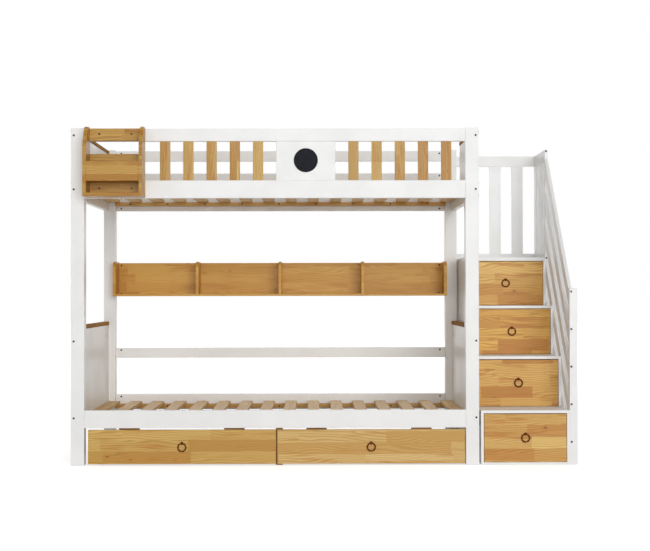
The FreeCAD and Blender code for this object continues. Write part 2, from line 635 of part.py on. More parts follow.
# Stairs: stepped side panels, treads over their steps that run back as shelves between them, a
# landing, and a back panel under the landing guard that reaches the bolt heads on the bed's post
BACK_PANEL_X = "(bed_length + stair_back_gap)"
stepped = [("stair_front_y", "0")]
for index in LEVELS[:-1]:
    rise = f"base_board + {index + 1} * opening_height + {index} * tread_thickness"
    stepped.append((f"stair_front_y + {index} * step_depth", rise))
    stepped.append((f"stair_front_y + {index + 1} * step_depth", rise))
stepped.append((LANDING_Y, LANDING_Z))
stepped.append((STAIR_BACK, LANDING_Z))
stepped.append((STAIR_BACK, "0"))
for label, place in (("stair_left_panel", STAIR_LEFT), ("stair_right_panel", STAIR_RIGHT)):
    side_panel = profile("SidePanel", "YZ_Plane", stepped, "stair_panel", place)
    stepped_board = side_panel.Tip
    chamfer = side_panel.newObject("PartDesign::Chamfer", "Arris")
    chamfer.Base = (stepped_board, [""])
    chamfer.UseAllEdges = True
    bind(chamfer, "Size", "panel_arris")
    keep(side_panel, label)
treads = [
    board("BaseBoard", (STAIR_INNER, "stair_front_y", "0"),
          ("stair_opening_width", f"{STAIR_BACK} - stair_front_y", "base_board"))
]
for index in LEVELS[:-1]:
    low = f"(base_board + {index + 1} * opening_height + {index} * tread_thickness)"
    front = f"(stair_front_y + {index} * step_depth)"
    run_back = f"min(shelf_run; {STAIR_BACK} - {front})"
    tread = new_body("Tread")
    over_panels = (f"{STAIR_OUTER} - {STAIR_LEFT}", "step_depth - tread_gap", "tread_thickness")
    add_box(tread, (STAIR_LEFT, front, low), over_panels)
    add_box(tread, (STAIR_INNER, front, low), ("stair_opening_width", run_back, "tread_thickness"))
    ease(tread)
    treads.append(tread)
keep(group("Treads", treads), "stair_treads")
size = (f"{STAIR_OUTER} - {STAIR_LEFT}", f"{STAIR_BACK} - {LANDING_Y}", "landing_thickness")
keep(board("Landing", (STAIR_LEFT, LANDING_Y, LANDING_Z), size), "stair_landing")
size = (f"{STAIR_OUTER} - {BACK_PANEL_X}", "stair_back_board", "landing_rail_z")
keep(board("StairBack", (BACK_PANEL_X, STAIR_BACK, "0"), size), "stair_back_panel")

# Stair rail: a newel post, a thinner post at the landing and parallel sloped rails between them
size = ("newel_width", "newel_depth", "newel_height")
drill(board("Newel", (STAIR_OUTER, "stair_front_y", "0"), size), "newel_post")
size = ("landing_post_width", "newel_depth", "landing_post_height")
drill(board("LandingPost", (STAIR_OUTER, LANDING_POST_Y, "0"), size), "landing_post")
SLOPE = f"(sloped_rail_rise / ({LANDING_POST_Y} - {NEWEL_BACK}))"
RAIL_DROP = f"(sloped_rail_width * sqrt(1 + {SLOPE} ^ 2))"
sloped = []
for index in range(SIZES["sloped_rail_count"]):
    top = f"sloped_rail_top - {index} * sloped_rail_pitch"
    outline = [
        (NEWEL_BACK, f"{top} - {RAIL_DROP}"),
        (LANDING_POST_Y, f"{top} - {RAIL_DROP} + sloped_rail_rise"),
        (LANDING_POST_Y, f"{top} + sloped_rail_rise"),
        (NEWEL_BACK, top),
    ]
    rail_body = profile("SlopedRail", "YZ_Plane", outline, "baluster_thickness", STAIR_OUTER)
    ease(rail_body)
    sloped.append(rail_body)
drill(group("SlopedRails", sloped), "sloped_rails")

# Landing guard: a back run that meets the bed's back post and a side run that ends on the
# landing post, each with a top rail, a bottom rail and three boards
BACK_GUARD_END = f"({STAIR_OUTER} + baluster_thickness)"
SIDE_GUARD_Y = f"({LANDING_POST_Y} + newel_depth)"
SIDE_BOARD_Y = f"({SIDE_GUARD_Y} + side_baluster_gap)"
SIDE_ROOM = f"({STAIR_BACK} - side_baluster_end - side_baluster_width - {SIDE_BOARD_Y})"
SIDE_PITCH = f"({SIDE_ROOM} / (landing_baluster_count - 1))"
BOARD_LOW = "(landing_rail_z + landing_rail_height)"
BOARD_TALL = f"(landing_top_z - {BOARD_LOW})"
guard = []
for low in ("landing_rail_z", "landing_top_z"):
    size = (f"{BACK_GUARD_END} - bed_length", "baluster_thickness", "landing_rail_height")
    guard.append(board("GuardBack", ("bed_length", STAIR_BACK, low), size))
    size = ("baluster_thickness", f"{STAIR_BACK} - {SIDE_GUARD_Y}", "landing_rail_height")
    guard.append(board("GuardSide", (STAIR_OUTER, SIDE_GUARD_Y, low), size))
back_run = board("GuardBackBoards", ("bed_length + back_baluster_gap", STAIR_BACK, BOARD_LOW),
                 ("back_baluster_width", "baluster_thickness", BOARD_TALL), "slat_round")
repeat(back_run, "X_Axis", "baluster_pitch", "landing_baluster_count")
side_run = board("GuardSideBoards", (STAIR_OUTER, SIDE_BOARD_Y, BOARD_LOW),
                 ("baluster_thickness", "side_baluster_width", BOARD_TALL), "slat_round")
repeat(side_run, "Y_Axis", SIDE_PITCH, "landing_baluster_count")
drill(group("LandingGuard", guard + [back_run, side_run]), "landing_guard")

# Ring pulls: a small plate with a lug, and a ring that hangs through the lug's bore
RING_Y = "(pull_plate_thickness + ring_gap + ring_wire)"
LEVEL_TURN = FreeCAD.Rotation(FreeCAD.Vector(0, 1, 0), 90)
FRONT_TURN = FreeCAD.Rotation(FreeCAD.Vector(1, 0, 0), 90)


def add_round(body, kind, turn, corner, sizes):
    """Add or cut a round feature turned away from +Z."""
    feature = body.newObject(f"PartDesign::{kind}", kind)
    for prop, text in sizes.items():
        bind(feature, prop, text)
    feature.Placement = FreeCAD.Placement(FreeCAD.Vector(), turn)
    bind_place(feature, corner)
    return feature


def ring_pull(label, middle_x, face_y, ring_z):
    """Make the pull plate and the ring of one drawer; the ring's centre is at ring_z."""
    eye_z = f"{ring_z} + ring_radius"
    base = new_body("PullBase")
    add_round(base, "AdditiveCylinder", FRONT_TURN, (middle_x, face_y, eye_z),
              {"Radius": "pull_plate_radius", "Height": "pull_plate_thickness"})
    add_round(base, "AdditiveCylinder", LEVEL_TURN,
              (f"{middle_x} - pull_lug_width / 2", f"{face_y} - {RING_Y}", eye_z),
              {"Radius": "pull_lug_radius", "Height": "pull_lug_width"})
    add_round(base, "SubtractiveCylinder", LEVEL_TURN,
              (f"{middle_x} - pull_lug_width", f"{face_y} - {RING_Y}", eye_z),
              {"Radius": "ring_wire + ring_bore_gap", "Height": "2 * pull_lug_width"})
    add_box(base, (f"{middle_x} - pull_plate_radius", face_y, f"{eye_z} - pull_plate_radius"),
            ("2 * pull_plate_radius", "pull_plate_radius", "2 * pull_plate_radius"), "SubtractiveBox")
    keep(base, f"{label}_pull_base")
    ring = new_body("PullRing")
    add_round(ring, "AdditiveTorus", FRONT_TURN, (middle_x, f"{face_y} - {RING_Y}", ring_z),
              {"Radius1": "ring_radius", "Radius2": "ring_wire"})
    keep(ring, f"{label}_ring")


def open_box(name, corner, size, wall, bottom, bottom_rise):
    """Make a drawer box: two sides, a back between them and a bottom; the front closes it."""
    x, y, z = corner
    width, depth, height = size
    inner = f"({width} - 2 * {wall})"
    return [
        board(name, (x, y, z), (wall, depth, height)),
        board(name, (f"{x} + {width} - {wall}", y, z), (wall, depth, height)),
        board(name, (f"{x} + {wall}", f"{y} + {depth} - {wall}", z), (inner, wall, height)),
        board(name, (f"{x} + {wall}", y, f"{z} + {bottom_rise}"), (inner, f"{depth} - {wall}", bottom)),
    ]


# Two drawers under the bed, each on four wheels outside its box
LOW_BOX_Y = "(low_front_y + low_front_thickness)"
WHEEL_LINES = {
    "front": f"({LOW_BOX_Y} + front_wheel_inset)",
    "rear": f"({LOW_BOX_Y} + low_box_depth - rear_wheel_inset)",
}
for index, side in enumerate(("left", "right")):
    label = f"{side}_drawer"
    front_x = f"(low_front_x + {index} * ({LOW_FRONT_WIDTH} + low_front_gap))"
    size = (LOW_FRONT_WIDTH, "low_front_thickness", "low_front_height")
    keep(board("LowFront", (front_x, "low_front_y", "low_front_z"), size), f"{label}_front")
    box_x = f"({front_x} + low_box_inset)"
    box_width = f"({LOW_FRONT_WIDTH} - 2 * low_box_inset)"
    size = (box_width, "low_box_depth", "low_box_height")
    boards = open_box("LowBox", (box_x, LOW_BOX_Y, "low_box_z"), size,
                      "low_box_board", "low_bottom_thickness", "low_bottom_rise")
    for pair, wheel_y in WHEEL_LINES.items():
        wheels = []
        for hand, side_x in ((-1, box_x), (1, f"({box_x} + {box_width})")):
            turn = FreeCAD.Rotation(FreeCAD.Vector(0, 1, 0), 90 * hand)
            wheel = new_body("Wheel")
            tyre = (f"{side_x} + {hand} * wheel_gap", wheel_y, "wheel_radius")
            add_round(wheel, "AdditiveCylinder", turn, tyre,
                      {"Radius": "wheel_radius", "Height": "wheel_width"})
            doc.recompute()
            ease(wheel, "wheel_edge")
            axle = (f"{side_x} - {hand} * axle_depth", wheel_y, "wheel_radius")
            add_round(wheel, "AdditiveCylinder", turn, axle,
                      {"Radius": "axle_radius", "Height": "axle_depth + wheel_gap + wheel_width / 2"})
            wheels.append(wheel)
            bore = doc.addObject("Part::Cylinder", "AxleBore")
            bind(bore, "Radius", "axle_radius + axle_clearance")
            bind(bore, "Height", "2 * axle_depth + axle_clearance")
            bore.Placement = FreeCAD.Placement(FreeCAD.Vector(), turn)
            bind_place(bore, (f"{side_x} - {hand} * (axle_depth + axle_clearance)", wheel_y, "wheel_radius"))
            holes.setdefault(f"{label}_box", []).append(bore)
        keep(group("Wheels", wheels), f"{label}_{pair}_wheels")
    drill(group("LowBoxBoards", boards), f"{label}_box")
    ring_pull(label, f"{front_x} + {LOW_FRONT_WIDTH} / 2", "low_front_y",
              "low_front_z + low_front_height / 2 - low_ring_drop")

# Four equal drawers in the stairs, one behind each riser
for index in LEVELS:
    label = f"stair_drawer_{index + 1}"
    riser = f"(stair_front_y + {index} * step_depth)"
    floor = f"(base_board + {index} * {STEP_RISE})"
    front_x = f"({STAIR_MIDDLE} - stair_front_width / 2)"
    size = ("stair_front_width", "stair_front_thickness", "stair_front_height")
    keep(board("StairFront", (front_x, riser, f"{floor} + stair_front_rise"), size), f"{label}_front")
    corner = (
        f"({front_x} + stair_box_inset)",
        f"({riser} + stair_front_thickness)",
        f"({floor} + stair_box_rise)",
    )
    size = ("(stair_front_width - 2 * stair_box_inset)", "stair_box_depth", "stair_box_height")
    boards = open_box("StairBox", corner, size,
                      "stair_box_board", "stair_bottom_thickness", "stair_box_board / 4")
    keep(group("StairBoxBoards", boards), f"{label}_box")
    ring_pull(label, STAIR_MIDDLE, riser, f"{floor} + stair_front_rise + stair_front_height / 2")

doc.recompute()

# Nothing is written unless every object is sound.
for item in doc.Objects:
    if {"Invalid", "Error"} & set(item.State):
        raise RuntimeError(f"{item.Label} did not recompute: {item.State}")
for item in nodes:
    if item.Shape.isNull() or not item.Shape.isValid() or not item.Shape.Solids:
        raise RuntimeError(f"{item.Label} has no valid shape")

os.makedirs("parts", exist_ok=True)
for item in nodes:
    item.Shape.exportStep(f"parts/{item.Label}.step")
    print(f"{item.Label}: {len(item.Shape.Solids)} solids, {item.Shape.Volume / 1000:.1f} cm3")
whole = FreeCAD.BoundBox()
for item in nodes:
    whole.add(item.Shape.BoundBox)
print(f"{len(nodes)} sub-parts, overall {whole}")
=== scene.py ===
import logging
import math
from dataclasses import dataclass, field
from enum import Enum
from functools import partial
from typing import ClassVar

import bpy
from mathutils import Matrix, Vector


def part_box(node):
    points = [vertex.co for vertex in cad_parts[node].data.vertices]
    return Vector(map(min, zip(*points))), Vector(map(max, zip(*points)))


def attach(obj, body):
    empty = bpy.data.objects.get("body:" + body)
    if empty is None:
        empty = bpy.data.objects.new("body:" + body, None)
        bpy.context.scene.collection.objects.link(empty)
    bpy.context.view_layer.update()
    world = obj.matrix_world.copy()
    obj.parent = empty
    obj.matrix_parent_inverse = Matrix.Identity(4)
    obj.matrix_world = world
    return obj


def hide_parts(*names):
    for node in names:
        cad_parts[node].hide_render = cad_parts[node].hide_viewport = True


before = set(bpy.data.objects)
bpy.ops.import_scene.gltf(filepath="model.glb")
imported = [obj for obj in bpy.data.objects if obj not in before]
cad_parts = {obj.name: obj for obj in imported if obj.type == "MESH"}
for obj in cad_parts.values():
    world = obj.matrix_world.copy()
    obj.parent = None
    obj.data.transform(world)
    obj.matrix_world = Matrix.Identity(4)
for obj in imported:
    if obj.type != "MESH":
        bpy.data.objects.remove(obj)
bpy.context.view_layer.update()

log = logging.getLogger("bunk_bed")

MM = 0.001

Socket = bpy.types.NodeSocket
Tree = bpy.types.NodeTree
Colour = tuple[float, float, float, float]
Point = tuple[float, float, float]

WHITE = (1.0, 1.0, 1.0, 1.0)

# Kinds and settings that many nodes share.
MATH = "ShaderNodeMath"
MIX = "ShaderNodeMix"
NOISE = "ShaderNodeTexNoise"
RANGE = "ShaderNodeMapRange"
ADD = {"operation": "ADD"}
DIVIDE = {"operation": "DIVIDE"}
FLOOR = {"operation": "FLOOR"}
LARGER = {"operation": "MAXIMUM"}
LESS = {"operation": "LESS_THAN"}
MULTIPLY = {"operation": "MULTIPLY"}
PINGPONG = {"operation": "PINGPONG"}
COLOURS = {"data_type": "RGBA"}
SMOOTH = {"interpolation_type": "SMOOTHSTEP"}
SOLID = {"noise_dimensions": "3D"}


def linear(code: str) -> Colour:
    """Turn an sRGB hex colour into linear light.

    Args:
        code: The colour as six hex digits, with or without a leading hash.

    Returns:
        The linear red, green, blue and an alpha of one.
    """
    digits = code.lstrip("#")
    parts = [int(digits[i:i + 2], 16) / 255 for i in (0, 2, 4)]
    light = [c / 12.92 if c <= 0.04045 else ((c + 0.055) / 1.055) ** 2.4 for c in parts]
    return (*light, 1.0)


def add_node(tree: Tree, kind: str, settings: dict | None = None,
             inputs: dict | tuple = ()) -> bpy.types.Node:
    """Add a node, set its properties, and set or link its inputs.

    Args:
        tree: The node tree that gets the node.
        kind: The node's type name.
        settings: Properties of the node by name.
        inputs: Values or sockets, by the input's name or number, or in the inputs' order.

    Returns:
        The new node.
    """
    node = tree.nodes.new(kind)
    for name, value in (settings or {}).items():
        setattr(node, name, value)
    given = inputs if isinstance(inputs, dict) else dict(enumerate(inputs))
    for key, value in given.items():
        if isinstance(value, Socket):
            tree.links.new(value, node.inputs[key])
        else:
            node.inputs[key].default_value = value
    return node


def start_material(name: str) -> tuple[bpy.types.Material, Tree, Socket]:
    """Start a material with an empty node tree.

    Args:
        name: The material's name.

    Returns:
        The material, its node tree and the object coordinates.
    """
    material = bpy.data.materials.new(name)
    material.use_nodes = True
    tree = material.node_tree
    tree.nodes.clear()
    return material, tree, add_node(tree, "ShaderNodeTexCoord").outputs["Object"]


class Grain(Enum):
    """The direction in which a board's fibres run."""

    ALONG_X = 0
    ALONG_Y = 1
    ALONG_Z = 2


@dataclass(frozen=True)
class Timber:
    """Pine under a clear satin lacquer: strips glued side by side, each made of short lengths, so
    that neighbouring lengths differ in tint and in figure.

    Attributes:
        name: The material's name.
        grain: The direction of the fibres.
        light: The colour of the palest length.
        middle: The colour of the darkest plain length.
        dark: The colour of the late wood in the rings.
        streak: The colour of the streaks, and of the few deep lengths.
        strip_mm: The width of a glued strip.
        length_mm: The length of one piece in a strip.
        ring_mm: The spacing of the growth rings.
        knots: The share of the lengths that may have knots.
        figure: How strongly the rings show.
        roughness: The lacquer's middle roughness.
        level: The lacquer's specular level.
        seed: A number that tells this timber from the others.
    """

    name: str
    grain: Grain
    light: str
    middle: str
    dark: str
    streak: str
    strip_mm: float = 55.0
    length_mm: float = 330.0
    ring_mm: float = 9.0
    knots: float = 0.35
    figure: float = 0.5
    roughness: float = 0.42
    level: float = 0.3
    seed: float = 0.0

    # The size of each pattern's cells across the fibres and along them. Real fibres are finer than
    # these, which are as coarse as they need to be to show.
    bend_mm: ClassVar[tuple[float, float]] = (75, 420)
    fibre_mm: ClassVar[tuple[float, float]] = (1.6, 60)
    cloud_mm: ClassVar[tuple[float, float]] = (26, 260)
    knot_mm: ClassVar[tuple[float, float]] = (80, 130)
    # How far the slow wave bends the rings, in rings, and how far chance moves a pattern, in cells.
    bend_rings: ClassVar[float] = 11.0
    jitter_cells: ClassVar[Point] = (37.0, 41.0, 43.0)
    # Steps that keep two boards from falling alike, in strips, and two timbers, in metres.
    board_step: ClassVar[float] = 17.3
    seed_step: ClassVar[float] = 0.0137
    # The depth of the finger joints and half the width of a glue line.
    finger_mm: ClassVar[float] = 2.5
    glue_mm: ClassVar[float] = 0.3
    # How strongly each mark shows.
    warm_amount: ClassVar[float] = 0.7
    deep_share: ClassVar[float] = 0.2
    deep_amount: ClassVar[float] = 0.36
    fine_amount: ClassVar[float] = 0.25
    halo_amount: ClassVar[float] = 0.45
    heart_amount: ClassVar[float] = 0.7
    glue_amount: ClassVar[float] = 0.3
    heart_colour: ClassVar[str] = "7a4420"
    # How far from a cell's middle each ring of a knot starts and is full.
    halo_reach: ClassVar[tuple[float, float]] = (0.2, 0.07)
    heart_reach: ClassVar[tuple[float, float]] = (0.085, 0.05)

    def stretched(self, tree: Tree, place: Socket, jitter: Socket,
                  cell_mm: tuple[float, float]) -> Socket:
        """Scale the object's coordinates along and across the fibres, shifted for each length.

        Args:
            tree: The material's node tree.
            place: The object coordinates.
            jitter: A random vector that is new in each glued length.
            cell_mm: The cell size across the fibres and along them.

        Returns:
            The coordinates for a texture of scale 1.
        """
        across_mm, along_mm = cell_mm
        scale = [1.0 / (across_mm * MM)] * 3
        scale[self.grain.value] = 1.0 / (along_mm * MM)
        scaled = add_node(tree, "ShaderNodeMapping",
                          inputs={"Vector": place, "Scale": scale}).outputs[0]
        return add_node(tree, "ShaderNodeVectorMath", {"operation": "MULTIPLY_ADD"},
                        (jitter, self.jitter_cells, scaled)).outputs[0]

    def lengths(self, tree: Tree, along: Socket, across: Socket) -> tuple[Socket, Socket]:
        """Divide a face into strips and the strips into lengths joined by fine fingers.

        Args:
            tree: The material's node tree.
            along: The coordinate along the fibres.
            across: The coordinate across them.

        Returns:
            A random number and a random vector that are new in each length.
        """
        add = partial(add_node, tree)
        board = add("ShaderNodeAttribute", {"attribute_name": "board"}).outputs["Fac"]
        strip = add(MATH, DIVIDE, (across, self.strip_mm * MM)).outputs[0]
        strip = add(MATH, FLOOR, (strip,)).outputs[0]
        board = add(MATH, MULTIPLY, (board, self.board_step)).outputs[0]
        key = add(MATH, ADD, (strip, board)).outputs[0]
        shift = add("ShaderNodeTexWhiteNoise", {"noise_dimensions": "1D"},
                    {"W": key}).outputs["Value"]
        finger = add(MATH, PINGPONG, (across, self.finger_mm * MM)).outputs[0]
        finger = add(MATH, MULTIPLY, (finger, 2.0)).outputs[0]
        run = add(MATH, ADD, (along, finger)).outputs[0]
        run = add(MATH, DIVIDE, (run, self.length_mm * MM)).outputs[0]
        piece = add(MATH, ADD, (run, shift)).outputs[0]
        piece = add(MATH, FLOOR, (piece,)).outputs[0]
        label = add("ShaderNodeCombineXYZ", inputs=(piece, key, self.seed)).outputs[0]
        chance = add("ShaderNodeTexWhiteNoise", SOLID, {"Vector": label})
        return chance.outputs["Value"], chance.outputs["Color"]

    def rings(self, tree: Tree, place: Socket, jitter: Socket, across: Socket) -> Socket:
        """Draw growth rings cut lengthwise: bands across the fibre, bent into long arches.

        Args:
            tree: The material's node tree.
            place: The object coordinates.
            jitter: The random vector of each length.
            across: The coordinate across the fibres.

        Returns:
            The amount of dark late wood, which ends sharply at each ring's outer edge.
        """
        add = partial(add_node, tree)
        bend = add(NOISE, SOLID, {"Vector": self.stretched(tree, place, jitter, self.bend_mm),
                                  "Scale": 1.0, "Detail": 1.5, "Roughness": 0.4}).outputs[0]
        bend = add(MATH, MULTIPLY, (bend, self.bend_rings)).outputs[0]
        count = add(MATH, DIVIDE, (across, self.ring_mm * MM)).outputs[0]
        phase = add(MATH, ADD, (count, bend)).outputs[0]
        saw = add(MATH, {"operation": "FRACT"}, (phase,)).outputs[0]
        rise = add(RANGE, SMOOTH, (saw, 0.25, 0.9)).outputs[0]
        fall = add(RANGE, SMOOTH, (saw, 1.0, 0.93)).outputs[0]
        return add(MATH, MULTIPLY, (rise, fall)).outputs[0]

    def knot_marks(self, tree: Tree, place: Socket, jitter: Socket,
                   tint: Socket) -> tuple[Socket, Socket]:
        """Set small tight knots in a few lengths only, each with a darker heart.

        Args:
            tree: The material's node tree.
            place: The object coordinates.
            jitter: The random vector of each length.
            tint: The random number of each length.

        Returns:
            The amount of a knot's halo and of its heart.
        """
        add = partial(add_node, tree)
        cell = add("ShaderNodeTexVoronoi", {"voronoi_dimensions": "3D"}, {
            "Vector": self.stretched(tree, place, jitter, self.knot_mm),
            "Scale": 1.0}).outputs["Distance"]
        chosen = add(MATH, LESS, (tint, self.knots)).outputs[0]
        halo = add(RANGE, SMOOTH, (cell, *self.halo_reach)).outputs[0]
        heart = add(RANGE, SMOOTH, (cell, *self.heart_reach)).outputs[0]
        return (add(MATH, MULTIPLY, (halo, chosen)).outputs[0],
                add(MATH, MULTIPLY, (heart, chosen)).outputs[0])

    def tinted(self, tree: Tree, tint: Socket, cloud: Socket) -> Socket:
        """Give each length its tint and its streaks.

        Args:
            tree: The material's node tree.
            tint: The random number of each length.
            cloud: A soft noise that places the streaks.

        Returns:
            The colour before rings, fibres and knots.
        """
        add = partial(add_node, tree)
        tone = add(RANGE, SMOOTH, (tint, 0.05, 0.95)).outputs[0]
        base = add(MIX, COLOURS, {0: tone, 6: linear(self.middle),
                                  7: linear(self.light)}).outputs[2]
        few = add(MATH, LESS, (tint, self.deep_share)).outputs[0]
        deep = add(MATH, MULTIPLY, (few, self.deep_amount)).outputs[0]
        warm = add(RANGE, SMOOTH, (cloud, 0.5, 0.7)).outputs[0]
        warm = add(MATH, MULTIPLY, (warm, self.warm_amount)).outputs[0]
        amount = add(MATH, LARGER, (warm, deep)).outputs[0]
        return add(MIX, COLOURS, {0: amount, 6: base, 7: linear(self.streak)}).outputs[2]

    def glue_line(self, tree: Tree, across: Socket) -> Socket:
        """Find the hairline where two strips are glued.

        Args:
            tree: The material's node tree.
            across: The coordinate across the fibres.

        Returns:
            One on the line and zero beside it.
        """
        edge = add_node(tree, MATH, PINGPONG, (across, self.strip_mm * MM / 2)).outputs[0]
        return add_node(tree, MATH, LESS, (edge, self.glue_mm * MM)).outputs[0]

    def build(self) -> bpy.types.Material:
        """Make the material.

        Returns:
            The finished material.
        """
        material, tree, place = start_material(self.name)
        add = partial(add_node, tree)
        xyz = add("ShaderNodeSeparateXYZ", inputs=(place,)).outputs
        along = xyz[self.grain.value]
        crosswise = tuple(xyz[i] for i in range(3) if i != self.grain.value)
        # A face's width is the sum of the two crosswise coordinates, whichever way it faces.
        across = add(MATH, ADD, crosswise).outputs[0]
        across = add(MATH, ADD, (across, self.seed * self.seed_step)).outputs[0]
        tint, jitter = self.lengths(tree, along, across)
        late = self.rings(tree, place, jitter, across)
        fibres = add(NOISE, SOLID, {"Vector": self.stretched(tree, place, jitter, self.fibre_mm),
                                    "Scale": 1.0, "Detail": 2.0, "Roughness": 0.6}).outputs[0]
        cloud = add(NOISE, SOLID, {"Vector": self.stretched(tree, place, jitter, self.cloud_mm),
                                   "Scale": 1.0, "Detail": 2.0}).outputs[0]
        fine = add(RANGE, SMOOTH, (fibres, 0.45, 0.8)).outputs[0]
        halo, heart = self.knot_marks(tree, place, jitter, tint)

        colour = self.tinted(tree, tint, cloud)
        for mark, strength, code in ((late, self.figure, self.dark),
                                     (fine, self.fine_amount, self.dark),
                                     (halo, self.halo_amount, self.streak),
                                     (heart, self.heart_amount, self.heart_colour),
                                     (self.glue_line(tree, across), self.glue_amount, self.dark)):
            amount = add(MATH, MULTIPLY, (mark, strength)).outputs[0]
            colour = add(MIX, COLOURS, {0: amount, 6: colour, 7: linear(code)}).outputs[2]

        ridges = add(MATH, MULTIPLY, (fibres, 0.5)).outputs[0]
        bands = add(MATH, MULTIPLY, (late, 0.3)).outputs[0]
        height = add(MATH, ADD, (ridges, bands)).outputs[0]
        bump = add("ShaderNodeBump",
                   inputs={"Strength": 0.1, "Distance": 0.4 * MM, "Height": height})
        rough = add(RANGE, SMOOTH, (late, 0.0, 1.0, self.roughness - 0.05,
                                    self.roughness + 0.07)).outputs[0]
        shader = add("ShaderNodeBsdfPrincipled", inputs={
            "Base Color": colour, "Roughness": rough, "IOR": 1.5,
            "Specular IOR Level": self.level, "Normal": bump.outputs[0],
            "Coat Weight": 0.04, "Coat Roughness": 0.3})
        add("ShaderNodeOutputMaterial", inputs=(shader.outputs[0],))
        return material


@dataclass(frozen=True)
class WhiteLacquer:
    """Pine sprayed with an opaque white lacquer: smooth and softly glossy, with a faint orange
    peel and a little more sheen where the film is thick.

    Attributes:
        name: The material's name.
        colour: The colour of the full film.
        shade: The colour where the film is thin.
        roughness: The film's middle roughness.
        film_mm: The size of the patches of thick and thin film.
        peel_mm: The size of the orange peel's dimples, drawn coarse so that they show.
    """

    name: str = "white_lacquer"
    colour: str = "f4f4f3"
    shade: str = "f0f0ef"
    roughness: float = 0.38
    film_mm: float = 160
    peel_mm: float = 3

    def build(self) -> bpy.types.Material:
        """Make the material.

        Returns:
            The finished material.
        """
        material, tree, place = start_material(self.name)
        add = partial(add_node, tree)
        film = add(NOISE, inputs={"Vector": place, "Scale": 1 / (self.film_mm * MM),
                                  "Detail": 3.0}).outputs[0]
        peel = add(NOISE, inputs={"Vector": place, "Scale": 1 / (self.peel_mm * MM),
                                  "Detail": 2.0}).outputs[0]
        thin = add(RANGE, SMOOTH, (film, 0.35, 0.7)).outputs[0]
        colour = add(MIX, COLOURS, {0: thin, 6: linear(self.colour),
                                    7: linear(self.shade)}).outputs[2]
        rough = add(RANGE, SMOOTH, (film, 0.3, 0.7, self.roughness - 0.04,
                                    self.roughness + 0.06)).outputs[0]
        bump = add("ShaderNodeBump", inputs={"Strength": 0.05, "Distance": 0.2 * MM,
                                             "Height": peel})
        shader = add("ShaderNodeBsdfPrincipled", inputs={
            "Base Color": colour, "Roughness": rough, "IOR": 1.5, "Specular IOR Level": 0.25,
            "Normal": bump.outputs[0], "Coat Weight": 0.04, "Coat Roughness": 0.25})
        add("ShaderNodeOutputMaterial", inputs=(shader.outputs[0],))
        return material


@dataclass(frozen=True)
class Metal:
    """A plated or patinated metal, darker in its hollows and rubbed brighter in patches.

    Attributes:
        name: The material's name.
        dark: The colour in the hollows.
        bright: The colour where it is rubbed.
        roughness: The roughness where it is rubbed.
        patch_mm: The size of the rubbed patches.
    """

    name: str
    dark: str
    bright: str
    roughness: float
    patch_mm: float = 6.0

    def build(self) -> bpy.types.Material:
        """Make the material.

        Returns:
            The finished material.
        """
        material, tree, place = start_material(self.name)
        add = partial(add_node, tree)
        patina = add(NOISE, inputs={"Vector": place, "Scale": 1 / (self.patch_mm * MM),
                                    "Detail": 4.0}).outputs[0]
        wear = add(RANGE, SMOOTH, (patina, 0.42, 0.68)).outputs[0]
        colour = add(MIX, COLOURS, {0: wear, 6: linear(self.dark),
                                    7: linear(self.bright)}).outputs[2]
        rough = add(RANGE, SMOOTH, (wear, 0.0, 1.0, self.roughness + 0.12,
                                    self.roughness)).outputs[0]
        bump = add("ShaderNodeBump", inputs={"Strength": 0.1, "Distance": 0.2 * MM,
                                             "Height": patina})
        shader = add("ShaderNodeBsdfPrincipled", inputs={
            "Base Color": colour, "Metallic": 1.0, "Roughness": rough,
            "Normal": bump.outputs[0]})
        add("ShaderNodeOutputMaterial", inputs=(shader.outputs[0],))
        return material


@dataclass(frozen=True)
class DarkFace:
    """A matt dark face or moulded plastic with a fine even tooth.

    Attributes:
        name: The material's name.
        colour: The main colour.
        shade: The colour of the faint haze on it.
        roughness: The roughness.
        level: The specular level.
        tooth_mm: The size of the tooth, drawn coarse so that it shows.
        haze_mm: The size of the haze's patches.
    """

    name: str
    colour: str
    shade: str
    roughness: float
    level: float = 0.5
    tooth_mm: float = 0.8
    haze_mm: float = 30

    def build(self) -> bpy.types.Material:
        """Make the material.

        Returns:
            The finished material.
        """
        material, tree, place = start_material(self.name)
        add = partial(add_node, tree)
        haze = add(NOISE, inputs={"Vector": place, "Scale": 1 / (self.haze_mm * MM),
                                  "Detail": 3.0}).outputs[0]
        tooth = add(NOISE, inputs={"Vector": place, "Scale": 1 / (self.tooth_mm * MM),
                                   "Detail": 1.0}).outputs[0]
        paler = add(RANGE, SMOOTH, (haze, 0.35, 0.7)).outputs[0]
        colour = add(MIX, COLOURS, {0: paler, 6: linear(self.colour),
                                    7: linear(self.shade)}).outputs[2]
        bump = add("ShaderNodeBump", inputs={"Strength": 0.2, "Distance": 0.1 * MM,
                                             "Height": tooth})
        shader = add("ShaderNodeBsdfPrincipled", inputs={
            "Base Color": colour, "Roughness": self.roughness,
            "Specular IOR Level": self.level, "Normal": bump.outputs[0]})
        add("ShaderNodeOutputMaterial", inputs=(shader.outputs[0],))
        return material


def dress(nodes: list[str], material: bpy.types.Material) -> None:
    """Give CAD nodes a finish by their material slots.

    Args:
        nodes: The CAD nodes' names.
        material: The finish.
    """
    for name in nodes:
        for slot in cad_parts[name].material_slots:
            slot.material = material
        log.info("%s: %s", name, material.name)


